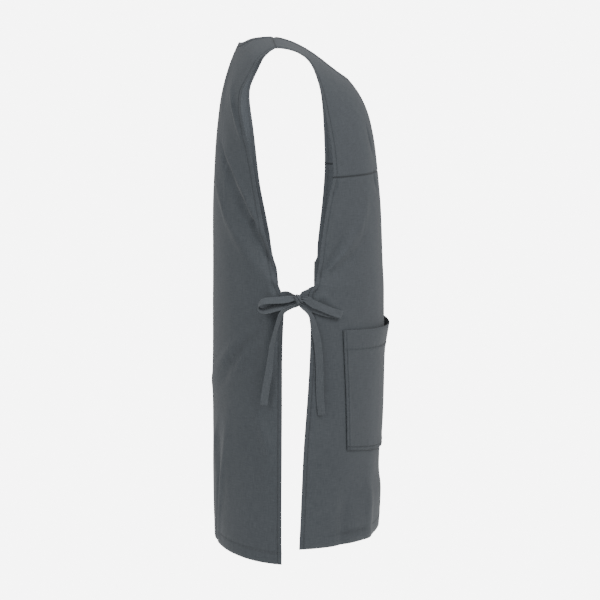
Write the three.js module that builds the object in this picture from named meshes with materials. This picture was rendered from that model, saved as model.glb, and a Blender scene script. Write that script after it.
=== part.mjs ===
// Cobbler apron: an over-the-head work apron of twill, with a front and a back panel joined at the
// shoulders, open sides, a wide patch pocket and tapes that tie at the waist.
// Millimetres. The origin is midway between the two neck points of the shoulder seams. +Z is up,
// the front faces -Y and the wearer's right side is at -X.

import * as THREE from 'three';

// Body of the apron
const LENGTH = 830; // neck points down to the hem, which lies higher in front and lower at the back
const TIE_DROP = 404; // neck points down to the tapes at the side edges
const FRONT_REACH = 186; // shoulder seams forward to the front panel at the waist
const BACK_REACH = 101; // shoulder seams back to the back panel at the waist
const HALF_WIDTH = 190; // middle out to the side edges at the waist

// Shoulders and neckline
const NECK_HALF = 80; // middle out to a neck point
const SHOULDER_HALF = 145; // middle out to the outer end of a shoulder seam
const SHOULDER_DROP = 17; // how far a shoulder seam falls to its outer end
const SHOULDER_FORWARD = 8; // how far a shoulder seam runs forward to its outer end
const FRONT_NECK_DROP = 70; // neck points down to the front neckline
const BACK_NECK_DROP = 9; // neck points down to the back neckline
const YOKE_DROP = 220; // neck points down to the yoke seam

// Cloth, hems and seams
const CLOTH = 1.2; // one layer of twill
const BOTTOM_HEM = 20; // depth of the hem along the bottom
const EDGE_HEM = 8; // depth of the hem along the armholes, side edges and neckline
const HEM_STEP = 1.5; // width of the slope from two layers to one
const GAP = 0.3; // clearance between pieces that are sewn or tied together
const FOLD_DEPTH = 10; // height of a full fold
const FOLD_WIDTH = 20; // half width of a full fold
const PANEL_HALF = 250; // half width of a panel, measured round the body
const LEFT_EASE = 10; // how far the left side edges, which hang untied, stray from the right ones

// Pocket
const POCKET_DROP = 462; // neck points down to the pocket's top corners
const POCKET_HEIGHT = 194; // top corners down to the bottom corners
const POCKET_TOP_HALF = 188; // half width at the mouth, measured round the body
const POCKET_BOTTOM_HALF = 173; // half width at the bottom
const POCKET_HEM = 33; // depth of the mouth hem
const POCKET_TURN = 7; // width of the turned-in edges at the sides and the bottom
const POCKET_SEAT = 0.6; // clearance between the pocket and the skirt
const POCKET_GAPE = 6.5; // how far the middle of the mouth stands off
const POCKET_GAPE_DEPTH = 50; // how far down the mouth's gape runs out

// Tapes
const TAPE_WIDTH = 12.5;
const TAPE = 1.2; // thickness
const GATHER = 0.5; // share of its width that a tape keeps where it enters the knot
const GATHER_RUN = 14; // length over which it spreads to its full width
const LEAD_GATHER_RUN = 7; // the same in the short stretches from the panels to the knot
const TUCK = 4; // length of a tape that lies behind the hem it is sewn to
const TUCK_CLEAR = 0.9; // clearance between the hem and the tape behind it
const PASS = 7; // how far a tape runs on past the hem before it turns out to the knot
const FRONT_TIE_RAISE = 9; // how much higher the front tape is sewn on
const KNOT_HALF = new THREE.Vector3(6, 6, 8); // half sizes of the knot
const KNOT_ALONG = 0.46; // share of the way from the front edge to the back edge
const KNOT_OUT = 8; // how far the knot stands out past the side edges
const KNOT_FALL = 4; // how far the knot hangs below the tapes' places on the side edges
const FRONT_LOOP = 75; // front loop, knot to tip
const BACK_LOOP = 63; // back loop, knot to tip
const FRONT_LOOP_LIFT = 5; // front loop's middle above the skirt
const FRONT_LOOP_FALL = 23; // degrees by which the front loop falls off
const FRONT_LOOP_EASE = 0.45; // share of the front loop that runs from the knot to the skirt
const LOOP_GAP = 3.4; // middle of one layer to the middle of the other
const LOOP_CLEAR = 3; // clearance between the front loop and the knot

// How finely the shapes are divided
const YOKE_STEPS = 9;
const SKIRT_STEPS = 21;
const BACK_STEPS = 25;
const POCKET_STEPS = 8; // down the pocket
const POCKET_COLUMNS = 20; // across the pocket
const LEAD_STEPS = 8;
const FRONT_LOOP_STEPS = 8;
const BACK_LOOP_STEPS = 22;
const FREE_STEPS = 14; // along a tail or an untied tape
const TIP_TURNS = [45, 90, 135]; // degrees round the tip of the front loop
const KNOT_AROUND = 12;
const KNOT_DOWN = 8;
const HALVINGS = 40; // when a row is looked for by its height

// Near the shoulder seams, in rows
const FOLD_START = 2; // row at which the folds have their full height
const SEAM_TURN = { from: 0.02, to: 0.6 }; // rows over which the cloth turns from the seam's slope

const TWILL = 0x565c60;
const TAPE_GREY = 0x5e6468;
const SHOULDER_WRAP = 20; // degrees that half a shoulder row turns round the body

// Each table below has named columns and a row for each section or fold
function table(columns, rows) {
  return rows.map((values) => Object.fromEntries(columns.map((name, i) => [name, values[i]])));
}

// Sections above the tapes. Downs are shares of TIE_DROP, reaches of the panel's reach, out is the
// share of the way from SHOULDER_HALF to HALF_WIDTH, wrap is in degrees round the body, sag is how
// late along the row its height changes, and left is the share of LEFT_EASE by which the left edge
// hangs nearer the other panel.
const UPPER_COLUMNS = ['midDown', 'midReach', 'edgeDown', 'edgeReach', 'out', 'wrap', 'sag', 'left'];
const FRONT_UPPER = table(UPPER_COLUMNS, [
  [-0.004, 0.16, 0.05, 0.177, 0.07, 24, 1.2, 0],
  [0.041, 0.31, 0.076, 0.29, 0.11, 30, 1.3, 0],
  [0.1, 0.473, 0.124, 0.366, 0.11, 38, 1.4, -0.1],
  [0.173, 0.672, 0.228, 0.43, 0.07, 46, 1.6, -0.1],
  [0.28, 0.82, 0.332, 0.473, 0.02, 53, 1.8, 0.2],
  [0.411, 0.903, 0.438, 0.516, 0.07, 58, 2, 0.8],
  [0.545, 0.94, 0.547, 0.527, 0.16, 62, 2, 0.9],
  [0.668, 0.963, 0.663, 0.47, 0.36, 67, 2, 0.1],
  [0.804, 0.977, 0.792, 0.425, 0.6, 72, 2, -0.2],
  [0.928, 0.99, 0.911, 0.4, 0.82, 76, 2, -0.15],
  [0.99, 0.997, 0.965, 0.388, 0.93, 78, 2, -0.35],
  [1.035, 1.002, 1, 0.333, 1, 80, 2, -0.8],
]);
const BACK_UPPER = table(UPPER_COLUMNS, [
  [-0.05, 0.35, 0.082, 0.173, 0.07, 26, 1.2, 0.2],
  [0.023, 0.56, 0.134, 0.297, 0.11, 34, 1.3, 0.4],
  [0.092, 0.672, 0.183, 0.416, 0.11, 42, 1.4, 0.65],
  [0.158, 0.767, 0.23, 0.49, 0.09, 48, 1.5, 0.7],
  [0.248, 0.855, 0.297, 0.475, 0.07, 54, 1.7, 0.6],
  [0.354, 0.918, 0.376, 0.406, 0.07, 58, 2, 0.3],
  [0.495, 0.965, 0.5, 0.297, 0.16, 63, 2, -0.2],
  [0.651, 0.985, 0.651, 0.198, 0.36, 68, 2, -0.5],
  [0.817, 0.993, 0.822, 0.05, 0.62, 73, 2, -0.6],
  [0.965, 1.005, 0.97, -0.05, 0.87, 77, 2, -0.85],
  [1.035, 1.01, 1.01, -0.153, 1, 80, 2, -1.15],
]);

// Sections below the tapes. Downs are shares of the drop from the tapes to LENGTH, and out is a
// share of HALF_WIDTH. The left edges hang apart by the share LOWER_LEFT of LEFT_EASE.
const LOWER_LEFT = -0.8;
const LOWER_COLUMNS = ['midDown', 'midReach', 'edgeDown', 'edgeReach', 'out', 'wrap'];
const FRONT_LOWER = table(LOWER_COLUMNS, [
  [0.167, 1.005, 0.129, 0.333, 1.01, 81],
  [0.331, 1.003, 0.289, 0.32, 1.01, 81],
  [0.488, 0.995, 0.437, 0.298, 1.013, 82],
  [0.643, 0.982, 0.57, 0.274, 1.016, 82],
  [0.777, 0.972, 0.718, 0.258, 1.016, 83],
  [0.875, 1.02, 0.84, 0.247, 1.02, 83],
  [0.945, 1.012, 0.93, 0.237, 1.02, 83],
  [0.978, 0.975, 0.965, 0.234, 1.016, 83],
]);
const BACK_LOWER = table(LOWER_COLUMNS, [
  [0.167, 1.02, 0.167, -0.158, 1.005, 80],
  [0.366, 1.025, 0.366, -0.163, 1.01, 80],
  [0.577, 1.025, 0.577, -0.158, 1.013, 81],
  [0.789, 1.024, 0.793, -0.152, 1.016, 81],
  [0.93, 1.02, 0.937, -0.15, 1.016, 81],
  [1.018, 1.01, 1.024, -0.153, 1.016, 81],
]);

// Folds run from one end, via a place, to the other end. Across is a share of the panel's half
// width, below zero on the right, down is a share of LENGTH, width is a share of FOLD_WIDTH, and
// height of FOLD_DEPTH, below zero in a valley.
const FOLD_COLUMNS = [
  'across', 'down', 'viaAcross', 'viaDown', 'toAcross', 'toDown', 'width', 'height',
];
const FRONT_FOLDS = table(FOLD_COLUMNS, [
  [-0.72, 0.36, -0.86, 0.405, -1, 0.46, 0.5, -0.4],
  [-0.56, 0.39, -0.72, 0.42, -0.9, 0.45, 0.5, -0.35],
  [-0.64, 0.37, -0.8, 0.41, -0.95, 0.45, 0.35, 0.2],
  [-0.33, 0.17, -0.3, 0.2, -0.27, 0.24, 0.5, -0.3],
  [0.33, 0.17, 0.3, 0.2, 0.27, 0.24, 0.5, -0.3],
  [0.75, 0.34, 0.84, 0.4, 0.92, 0.46, 0.8, 0.25],
  [-0.4, 0.85, -0.42, 0.92, -0.45, 1, 1.2, 0.25],
  [0.35, 0.85, 0.38, 0.92, 0.4, 1, 1.2, 0.25],
]);
const BACK_FOLDS = table(FOLD_COLUMNS, [
  [-0.38, 0.2, -0.76, 0.295, -0.98, 0.44, 0.45, -0.55],
  [-0.58, 0.2, -0.86, 0.29, -1, 0.38, 0.6, 0.3],
  [-0.25, 0.24, -0.58, 0.33, -0.85, 0.46, 0.9, 0.3],
  [-0.88, 0.53, -0.5, 0.61, -0.15, 0.68, 0.5, 0.35],
  [-0.84, 0.58, -0.55, 0.66, -0.25, 0.72, 0.5, -0.25],
  [-0.8, 0.7, -0.88, 0.76, -0.93, 0.83, 0.6, 0.3],
  [-0.5, 0.74, -0.46, 0.85, -0.4, 0.99, 0.5, 0.4],
  [-0.36, 0.76, -0.33, 0.86, -0.27, 0.99, 0.5, -0.4],
  [-0.65, 0.1, -0.8, 0.14, -0.93, 0.2, 0.6, 0.3],
  [0.35, 0.2, 0.65, 0.3, 0.9, 0.4, 0.7, -0.35],
  [0.5, 0.52, 0.47, 0.75, 0.45, 0.99, 0.9, 0.35],
  [0.7, 0.5, 0.69, 0.75, 0.68, 0.99, 0.8, -0.3],
]);

const mix = THREE.MathUtils.lerp;
const radians = THREE.MathUtils.degToRad;

// The row of the shoulder seam, which both panels share, so that they meet along it
function shoulderRow(facing) {
  const wrap = radians(SHOULDER_WRAP);
  const neckShare = NECK_HALF / SHOULDER_HALF;
  const edgeReach = -facing * SHOULDER_FORWARD;
  const neckTurn = Math.asin(neckShare * Math.sin(wrap));
  const neckRound = roundness(neckTurn, wrap);
  return {
    midDown: (-SHOULDER_DROP * neckShare) / (1 - neckShare),
    midReach: edgeReach - edgeReach / neckRound,
    edgeDown: SHOULDER_DROP,
    edgeReach,
    edgeOut: SHOULDER_HALF,
    wrap,
    sag: 1,
    left: 0,
  };
}

// 1 at the middle of a row and 0 at its edge, as an arc falls back
function roundness(turn, wrap) {
  return (Math.cos(turn) - Math.cos(wrap)) / (1 - Math.cos(wrap));
}

function upperRow(row, reach) {
  return {
    midDown: row.midDown * TIE_DROP,
    midReach: row.midReach * reach,
    edgeDown: row.edgeDown * TIE_DROP,
    edgeReach: row.edgeReach * reach,
    edgeOut: mix(SHOULDER_HALF, HALF_WIDTH, row.out),
    wrap: radians(row.wrap),
    sag: row.sag,
    left: row.left * LEFT_EASE,
  };
}

function lowerRow(row, reach) {
  return {
    midDown: mix(TIE_DROP, LENGTH, row.midDown),
    midReach: row.midReach * reach,
    edgeDown: mix(TIE_DROP, LENGTH, row.edgeDown),
    edgeReach: row.edgeReach * reach,
    edgeOut: row.out * HALF_WIDTH,
    wrap: radians(row.wrap),
    sag: 2,
    left: LOWER_LEFT * LEFT_EASE,
  };
}

// A smooth curve through one column of the rows
function between(rows, column, r) {
  const last = rows.length - 1;
  const i = Math.min(Math.floor(r), last - 1);
  const t = r - i;
  const [a, b, c, d] = [i - 1, i, i + 1, i + 2].map((k) => rows[Math.min(Math.max(k, 0), last)][column]);
  const slopeIn = (c - a) / 2;
  const slopeOut = (d - b) / 2;
  const bend = 3 * (c - b) - 2 * slopeIn - slopeOut;
  const rest = slopeIn + slopeOut - 2 * (c - b);
  return b + t * (slopeIn + t * (bend + t * rest));
}

// Distance from a place to a straight stretch
function distanceTo(here, start, end) {
  const run = end.clone().sub(start);
  const away = here.clone().sub(start);
  const along = THREE.MathUtils.clamp(away.dot(run) / run.lengthSq(), 0, 1);
  return away.addScaledVector(run, -along).length();
}

// A panel is a surface in two coordinates: share, from -1 at the right edge to 1 at the left edge,
// and r, which counts the rows down from the shoulder seam.
class Panel {
  constructor(facing, reach, upper, lower, folds) {
    this.facing = facing;
    this.rows = [
      shoulderRow(facing),
      ...upper.map((row) => upperRow(row, reach)),
      ...lower.map((row) => lowerRow(row, reach)),
    ];
    this.waist = upper.length;
    this.last = this.rows.length - 1;
    this.folds = folds;
  }

  base(share, r) {
    const row = Object.fromEntries(
      Object.keys(this.rows[0]).map((name) => [name, between(this.rows, name, r)]),
    );
    const turn = Math.abs(share) * row.wrap;
    const side = Math.sin(turn) / Math.sin(row.wrap);
    const edgeReach = row.edgeReach - (share > 0 ? row.left : 0);
    const reach = mix(edgeReach, row.midReach, roundness(turn, row.wrap));
    const down = mix(row.midDown, row.edgeDown, side ** row.sag);
    return new THREE.Vector3(Math.sign(share) * side * row.edgeOut, this.facing * reach, -down);
  }

  // Height of the folds that cross a place, none at the shoulder seam and the side edges
  relief(share, r, down) {
    const here = new THREE.Vector2(share * PANEL_HALF, down);
    const fromSeam = THREE.MathUtils.smoothstep(r, 0, FOLD_START);
    const fromEdge = THREE.MathUtils.smoothstep(1 - Math.abs(share), 0, FOLD_WIDTH / PANEL_HALF);
    let height = 0;
    for (const fold of this.folds) {
      const start = new THREE.Vector2(fold.across * PANEL_HALF, fold.down * LENGTH);
      const via = new THREE.Vector2(fold.viaAcross * PANEL_HALF, fold.viaDown * LENGTH);
      const end = new THREE.Vector2(fold.toAcross * PANEL_HALF, fold.toDown * LENGTH);
      const distance = Math.min(distanceTo(here, start, via), distanceTo(here, via, end));
      height += fold.height * FOLD_DEPTH * Math.exp(-((distance / (fold.width * FOLD_WIDTH)) ** 2));
    }
    return height * fromSeam * fromEdge;
  }

  // Outward direction of a surface given as a function of share and r
  outward(surface, share, r) {
    const step = 0.004;
    const left = Math.min(share + step, 1);
    const right = Math.max(share - step, -1);
    const low = Math.min(r + step, this.last);
    const high = Math.max(r - step, 0);
    const across = surface(left, r).sub(surface(right, r));
    const down = surface(share, low).sub(surface(share, high));
    return across.cross(down).multiplyScalar(this.facing).normalize();
  }

  point(share, r) {
    const base = this.base(share, r);
    const relief = this.relief(share, r, -base.z);
    if (Math.abs(relief) < 1e-6) {
      return base;
    }
    const out = this.outward((s, q) => this.base(s, q), share, r);
    return base.addScaledVector(out, relief);
  }

  // Outward direction of the cloth, which near the shoulder seam turns to the seam's own
  normal(share, r) {
    const fromSeam = THREE.MathUtils.smoothstep(r, SEAM_TURN.from, SEAM_TURN.to);
    const out = this.outward((s, q) => this.point(s, q), share, r);
    return shoulderNormal(share).lerp(out, fromSeam).normalize();
  }

  // A place above the cloth
  above(share, r, lift) {
    return this.point(share, r).addScaledVector(this.normal(share, r), lift);
  }

  // The row that has a given height at a share
  rowAtDown(share, down) {
    let high = 0;
    let low = this.last;
    for (let i = 0; i < HALVINGS; i += 1) {
      const middle = (high + low) / 2;
      if (-this.base(share, middle).z < down) {
        high = middle;
      } else {
        low = middle;
      }
    }
    return (high + low) / 2;
  }

  // The share that lies a given distance round the body from the middle of a row
  shareAt(r, distance) {
    const steps = 60;
    let run = 0;
    let from = this.base(0, r);
    for (let i = 1; i <= steps; i += 1) {
      const to = this.base(i / steps, r);
      const piece = to.distanceTo(from);
      if (run + piece >= distance) {
        return (i - 1 + (distance - run) / piece) / steps;
      }
      run += piece;
      from = to;
    }
    return 1;
  }

  // How many rows a short distance down the cloth is
  rowsFor(share, r, distance) {
    const step = 0.01;
    const from = Math.min(r, this.last - step);
    return (distance * step) / this.base(share, from).distanceTo(this.base(share, from + step));
  }

  // How much of the share a short distance along a row is
  shareFor(share, r, distance) {
    const step = 0.01;
    return (distance * step) / this.base(share, r).distanceTo(this.base(share - step, r));
  }
}

// Straight up from a shoulder seam, and alike for both panels
function shoulderNormal(share) {
  const slope = Math.atan2(SHOULDER_DROP, SHOULDER_HALF - NECK_HALF);
  return new THREE.Vector3(Math.sign(share) * Math.sin(slope), 0, Math.cos(slope));
}

const front = new Panel(-1, FRONT_REACH, FRONT_UPPER, FRONT_LOWER, FRONT_FOLDS);
const back = new Panel(1, BACK_REACH, BACK_UPPER, BACK_LOWER, BACK_FOLDS);

// Share of the neck point on the shoulder seam
const NECK_SHARE =
  Math.asin((NECK_HALF / SHOULDER_HALF) * Math.sin(radians(SHOULDER_WRAP))) / radians(SHOULDER_WRAP);

// Columns from the right edge to the left edge: closer together at the neck points and side hems
function columnShares() {
  const neckSteps = 6;
  const sideSteps = 5;
  const hem = EDGE_HEM / PANEL_HALF;
  const slope = HEM_STEP / PANEL_HALF;
  const half = [];
  for (let i = 1; i < neckSteps; i += 1) {
    half.push(NECK_SHARE * Math.sin((Math.PI / 2) * (i / neckSteps)));
  }
  for (let i = 0; i <= sideSteps; i += 1) {
    half.push(mix(NECK_SHARE, 1 - hem - slope, i / sideSteps));
  }
  half.push(1 - hem, 1);
  return [...half.map((share) => -share).reverse(), 0, ...half];
}

// Row of the top edge above a share: the neckline in the middle, the shoulder seam beside it
function topRow(panel, neckDrop, share) {
  const along = Math.min(Math.abs(share) / NECK_SHARE, 1);
  return panel.rowAtDown(0, neckDrop) * Math.sqrt(1 - along ** 2);
}

// Row values down one column: a band at the head, even steps, and a band at the tail
function ladder(panel, share, from, to, headBand, tailBand, steps) {
  const head = panel.rowsFor(share, from, headBand);
  const headSlope = panel.rowsFor(share, from, HEM_STEP);
  const tail = panel.rowsFor(share, to, tailBand);
  const tailSlope = panel.rowsFor(share, to, HEM_STEP);
  const start = from + head + headSlope;
  const end = to - tail - tailSlope;
  const rungs = [from, from + head];
  for (let i = 0; i <= steps; i += 1) {
    rungs.push(mix(start, end, i / steps));
  }
  return [...rungs, to - tail, to];
}

// A closed solid between an outer and an inner grid of points, whose rims join them
function shell(outer, inner) {
  const columns = outer.length;
  const rows = outer[0].length;
  const points = [...outer.flat(), ...inner.flat()];
  const offset = columns * rows;
  const indices = [];
  const quad = (a, b, c, d) => indices.push(a, b, c, a, c, d);
  for (let i = 0; i < columns - 1; i += 1) {
    for (let j = 0; j < rows - 1; j += 1) {
      const a = i * rows + j;
      quad(a, a + 1, a + rows + 1, a + rows);
      quad(offset + a, offset + a + rows, offset + a + rows + 1, offset + a + 1);
    }
  }
  const rim = [];
  for (let i = 0; i < columns; i += 1) {
    rim.push(i * rows);
  }
  for (let j = 1; j < rows; j += 1) {
    rim.push((columns - 1) * rows + j);
  }
  for (let i = columns - 2; i >= 0; i -= 1) {
    rim.push(i * rows + rows - 1);
  }
  for (let j = rows - 2; j > 0; j -= 1) {
    rim.push(j);
  }
  rim.forEach((a, k) => {
    const b = rim[(k + 1) % rim.length];
    quad(a, b, offset + b, offset + a);
  });
  return solid(points, indices);
}

// An indexed geometry whose faces point outwards
function solid(points, indices) {
  let volume = 0;
  for (let i = 0; i < indices.length; i += 3) {
    const [a, b, c] = [points[indices[i]], points[indices[i + 1]], points[indices[i + 2]]];
    volume += a.dot(b.clone().cross(c));
  }
  const faces = volume < 0 ? indices.slice().reverse() : indices;
  const geometry = new THREE.BufferGeometry().setFromPoints(points);
  geometry.setIndex(faces);
  geometry.computeVertexNormals();
  return geometry;
}

// Part of a panel between two edges given as functions of the share, two layers thick in its hems
function panelSolid(panel, topEdge, bottomEdge, headBand, tailBand, steps) {
  const shares = columnShares();
  const grids = { outer: [], inner: [] };
  shares.forEach((share, i) => {
    const rungs = ladder(panel, share, topEdge(share), bottomEdge(share), headBand, tailBand, steps);
    const sideHem = i < 2 || i > shares.length - 3;
    const outer = [];
    const inner = [];
    rungs.forEach((r, j) => {
      const point = panel.point(share, r);
      const layers = sideHem || j < 2 || j > rungs.length - 3 ? 2 : 1;
      outer.push(point);
      inner.push(point.clone().addScaledVector(panel.normal(share, r), -layers * CLOTH));
    });
    grids.outer.push(outer);
    grids.inner.push(inner);
  });
  return shell(grids.outer, grids.inner);
}

// Half the sewing clearance, as rows down from a seam
function seam(panel, share, r) {
  return r + panel.rowsFor(share, r, GAP / 2);
}

const yokeRow = front.rowAtDown(0, YOKE_DROP);

function frontYoke() {
  const bottom = (share) => 2 * yokeRow - seam(front, share, yokeRow);
  const top = (share) => seam(front, share, topRow(front, FRONT_NECK_DROP, share));
  return panelSolid(front, top, bottom, EDGE_HEM, EDGE_HEM, YOKE_STEPS);
}

function frontSkirt() {
  const top = (share) => seam(front, share, yokeRow);
  return panelSolid(front, top, () => front.last, EDGE_HEM, BOTTOM_HEM, SKIRT_STEPS);
}

function backPanel() {
  const top = (share) => seam(back, share, topRow(back, BACK_NECK_DROP, share));
  return panelSolid(back, top, () => back.last, EDGE_HEM, BOTTOM_HEM, BACK_STEPS);
}

// Places across the pocket, from -1 at its right edge to 1 at its left edge
function pocketSides() {
  const turn = POCKET_TURN / POCKET_TOP_HALF;
  const slope = HEM_STEP / POCKET_TOP_HALF;
  const inner = 1 - turn - slope;
  const sides = [-1, -1 + turn];
  for (let i = 0; i <= POCKET_COLUMNS; i += 1) {
    sides.push(mix(-inner, inner, i / POCKET_COLUMNS));
  }
  return [...sides, 1 - turn, 1];
}

// The pocket lies on the skirt, two layers thick in its mouth hem and its turned-in edges, and its
// mouth stands off in the middle
function frontPocket() {
  const cornerShare = front.shareAt(front.waist, POCKET_TOP_HALF);
  const mouth = front.rowAtDown(cornerShare, POCKET_DROP);
  const foot = front.rowAtDown(cornerShare, POCKET_DROP + POCKET_HEIGHT);
  const rungs = ladder(front, cornerShare, mouth, foot, POCKET_HEM, POCKET_TURN, POCKET_STEPS);
  const sides = pocketSides();
  const outer = [];
  const inner = [];
  sides.forEach((side, i) => {
    const turnedIn = i < 2 || i > sides.length - 3;
    const outerColumn = [];
    const innerColumn = [];
    rungs.forEach((r, j) => {
      const depth = (r - mouth) / (foot - mouth);
      const half = mix(POCKET_TOP_HALF, POCKET_BOTTOM_HALF, depth);
      const share = side * front.shareAt(r, half);
      const open = Math.max(1 - (depth * POCKET_HEIGHT) / POCKET_GAPE_DEPTH, 0) ** 2;
      const lift = POCKET_SEAT + POCKET_GAPE * open * Math.cos((Math.PI / 2) * side) ** 2;
      const layers = turnedIn || j < 2 || j > rungs.length - 3 ? 2 : 1;
      innerColumn.push(front.above(share, r, lift));
      outerColumn.push(front.above(share, r, lift + layers * CLOTH));
    });
    outer.push(outerColumn);
    inner.push(innerColumn);
  });
  return shell(outer, inner);
}

// A flat tape through stations that each have a place, a direction across it and a face direction.
// It is gathered where it is nearer to the knot than the gather's run.
function tape(stations, gatherRun = GATHER_RUN) {
  const corner = (station, across, out) => {
    const fromKnot = station.at.distanceTo(knot) - KNOT_HALF.x;
    const spread = mix(GATHER, 1, THREE.MathUtils.clamp(fromKnot / gatherRun, 0, 1));
    return station.at
      .clone()
      .addScaledVector(station.across, (across * spread * TAPE_WIDTH) / 2)
      .addScaledVector(station.face, (out * TAPE) / 2);
  };
  const outer = [-1, 1].map((side) => stations.map((station) => corner(station, side, 1)));
  const inner = [-1, 1].map((side) => stations.map((station) => corner(station, side, -1)));
  return shell(outer, inner);
}

// Stations along a smooth route. Each point has a hint, the direction that the tape's width takes.
function route(points, hints, steps) {
  const curve = new THREE.CatmullRomCurve3(points, false, 'centripetal');
  const last = points.length - 1;
  const stations = [];
  for (let i = 0; i <= steps; i += 1) {
    const t = i / steps;
    const tangent = curve.getTangent(t);
    const from = Math.min(Math.floor(t * last), last - 1);
    const across = hints[from].clone().lerp(hints[from + 1], t * last - from);
    across.addScaledVector(tangent, -across.dot(tangent)).normalize();
    stations.push({ at: curve.getPoint(t), across, face: across.clone().cross(tangent) });
  }
  return stations;
}

// The bow on the right side: its knot stands between the tie points of the two panels
const frontTieRow = front.rowAtDown(-1, TIE_DROP - FRONT_TIE_RAISE);
const backTieRow = back.rowAtDown(-1, TIE_DROP);
const frontTie = front.point(-1, frontTieRow);
const backTie = back.point(-1, backTieRow);
const knot = frontTie.clone().lerp(backTie, KNOT_ALONG);
knot.x -= KNOT_OUT;
knot.z = -TIE_DROP - KNOT_FALL;
const outwards = new THREE.Vector3(-1, 0, 0);
const upwards = new THREE.Vector3(0, 0, 1);

// Place beside the knot where a tape that runs off in a direction begins
function besideKnot(direction, clearance = GAP) {
  const unit = direction.clone().normalize();
  const reach = unit.clone().multiply(KNOT_HALF).length() + clearance;
  return knot.clone().addScaledVector(unit, reach);
}

function knotSolid() {
  const geometry = new THREE.SphereGeometry(1, KNOT_AROUND, KNOT_DOWN);
  geometry.scale(KNOT_HALF.x, KNOT_HALF.y, KNOT_HALF.z);
  return geometry;
}

// How far above the straight way each lead enters the knot, and its tape's width there
const FRONT_LEAD = { rise: 0.3, across: upwards };
const BACK_LEAD = { rise: 0.5, across: new THREE.Vector3(-0.9, 0, 0.44) };

// A short tape that comes out from behind a panel's right edge and runs to the knot
function leadSolid(panel, r, { rise, across }) {
  const behind = -(2 * CLOTH + TUCK_CLEAR + TAPE / 2);
  const start = panel.above(-1 + panel.shareFor(1, r, TUCK), r, behind);
  const edge = panel.above(-1, r, behind);
  const toEdge = edge.clone().sub(start).normalize();
  const past = edge.clone().addScaledVector(toEdge, PASS);
  const fromKnot = past.clone().sub(knot).normalize().addScaledVector(upwards, rise);
  const points = [start, edge, past, besideKnot(fromKnot)];
  return tape(route(points, [upwards, upwards, upwards, across], LEAD_STEPS), LEAD_GATHER_RUN);
}

const FRONT_LOOP_WAY = new THREE.Vector3(-0.3, -1, -0.55); // from the knot into the front loop

// The front loop is a flattened ring of tape that lies over the front skirt
function frontLoopSolid() {
  const reachDown = FRONT_LOOP * Math.sin(radians(FRONT_LOOP_FALL));
  const reachRound = FRONT_LOOP * Math.cos(radians(FRONT_LOOP_FALL));
  const beside = besideKnot(FRONT_LOOP_WAY, LOOP_CLEAR);
  const middle = [];
  const faces = [];
  for (let i = 0; i <= FRONT_LOOP_STEPS; i += 1) {
    const t = i / FRONT_LOOP_STEPS;
    const r = front.rowAtDown(-1, TIE_DROP + reachDown * t);
    const share = -Math.min(1, 1 - front.shareFor(1, r, reachRound * t - (knot.y - frontTie.y)));
    const over = front.above(share, r, FRONT_LOOP_LIFT);
    const ease = THREE.MathUtils.smoothstep(t, 0, FRONT_LOOP_EASE);
    middle.push(beside.clone().lerp(over, ease));
    faces.push(outwards.clone().lerp(front.normal(share, r), ease).normalize());
  }
  return ring(middle, faces);
}

// A tape folded back on itself at the last of its middle points
function ring(middle, faces) {
  const last = middle.length - 1;
  const places = [];
  for (let i = 0; i < last; i += 1) {
    places.push({ at: middle[i], face: faces[i], lift: LOOP_GAP / 2, turn: 0 });
  }
  for (const turn of TIP_TURNS) {
    places.push({ at: middle[last], face: faces[last], lift: LOOP_GAP / 2, turn });
  }
  for (let i = last - 1; i >= 0; i -= 1) {
    places.push({ at: middle[i], face: faces[i], lift: LOOP_GAP / 2, turn: 180 });
  }
  const stations = places.map(({ at, face, lift, turn }) => {
    const index = middle.indexOf(at);
    const along = middle[Math.min(index + 1, last)].clone().sub(middle[Math.max(index - 1, 0)]);
    along.normalize();
    const across = along.clone().cross(face).normalize();
    const out = across.clone().cross(along);
    const side = out
      .multiplyScalar(Math.cos(radians(turn)))
      .addScaledVector(along, Math.sin(radians(turn)));
    return { at: at.clone().addScaledVector(side, lift), across, face: side };
  });
  return tape(stations);
}

// The back loop stands open: it runs back over the back panel and returns below itself. Along and
// down are shares of BACK_LOOP from the knot, and inward is the share of KNOT_OUT that it comes
// back towards the panel.
const BACK_LOOP_ROUTE = table(['along', 'down', 'inward'], [
  [0.098, 0.05, 0],
  [0.42, 0.08, -0.25],
  [0.76, 0.08, 0],
  [0.95, 0.14, 0.4],
  [1, 0.26, 0.5],
  [0.92, 0.35, 0.4],
  [0.6, 0.27, -0.1],
  [0.24, 0.11, -0.1],
]);
const BACK_LOOP_ACROSS = new THREE.Vector3(-0.83, 0, -0.55); // direction of its tape's width

function backLoopSolid() {
  const points = BACK_LOOP_ROUTE.map(({ along, down, inward }) =>
    knot.clone().add(new THREE.Vector3(inward * KNOT_OUT, along * BACK_LOOP, -down * BACK_LOOP)),
  );
  return tape(route(points, points.map(() => BACK_LOOP_ACROSS), BACK_LOOP_STEPS));
}

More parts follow.
